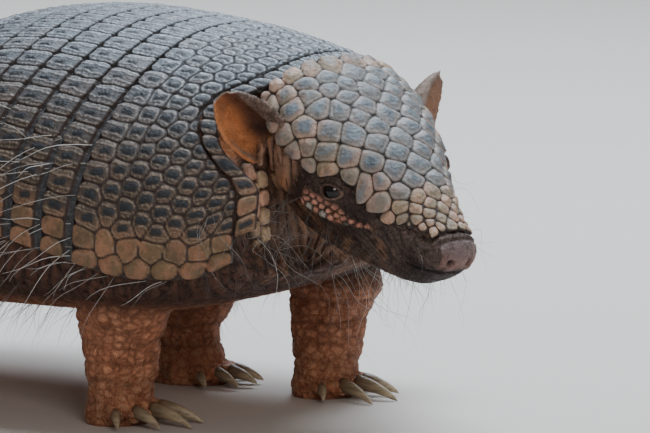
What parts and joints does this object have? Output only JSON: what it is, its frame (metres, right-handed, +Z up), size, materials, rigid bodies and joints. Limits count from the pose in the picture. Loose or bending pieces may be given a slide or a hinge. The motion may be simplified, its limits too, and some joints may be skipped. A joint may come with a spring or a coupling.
{
  "type": "armadillo",
  "caption": "Life-size six-banded armadillo walking with its head low and turned, armoured back and head, bare legs with digging claws and a tapering tail.",
  "frame": {"origin": "centre of the footprint at floor level, midway between muzzle and tail tip", "axes": "+Z up, +Y towards the tail, so the animal faces -Y and its left side is +X"},
  "size_m": [0.214, 0.5936, 0.177],
  "materials": {
    "shell": "dull horn over bone, grey-brown with tan rims",
    "skin": "leathery, finely wrinkled, orange-brown",
    "horn": "worn horn",
    "eye": "wet gloss",
    "hair": "stiff straw-coloured and brown bristles"
  },
  "bodies": {
    "root": {"nuchal_band": "shell", "scapular_shield": "shell", "band_1": "shell", "band_2": "shell", "band_3": "shell", "band_4": "shell", "band_5": "shell", "band_6": "shell", "pelvic_shield": "shell", "trunk": "skin", "neck": "skin", "head": "skin", "head_shield": "shell", "eye_left": "eye", "eye_right": "eye", "ear_left": "skin", "ear_right": "skin", "leg_front_right": "skin", "leg_front_left": "skin", "leg_hind_left": "skin", "leg_hind_right": "skin", "foot_front_right": "skin", "foot_front_left": "skin", "foot_hind_left": "skin", "foot_hind_right": "skin", "claw_front_right_1": "horn", "claw_front_right_2": "horn", "claw_front_right_3": "horn", "claw_front_right_4": "horn", "claw_front_right_5": "horn", "claw_front_left_1": "horn", "claw_front_left_2": "horn", "claw_front_left_3": "horn", "claw_front_left_4": "horn", "claw_front_left_5": "horn", "claw_hind_left_1": "horn", "claw_hind_left_2": "horn", "claw_hind_left_3": "horn", "claw_hind_left_4": "horn", "claw_hind_left_5": "horn", "claw_hind_right_1": "horn", "claw_hind_right_2": "horn", "claw_hind_right_3": "horn", "claw_hind_right_4": "horn", "claw_hind_right_5": "horn", "tail_ring_1": "shell", "tail_ring_2": "shell", "tail_ring_3": "shell", "tail": "shell"}
  },
  "joints": []
}
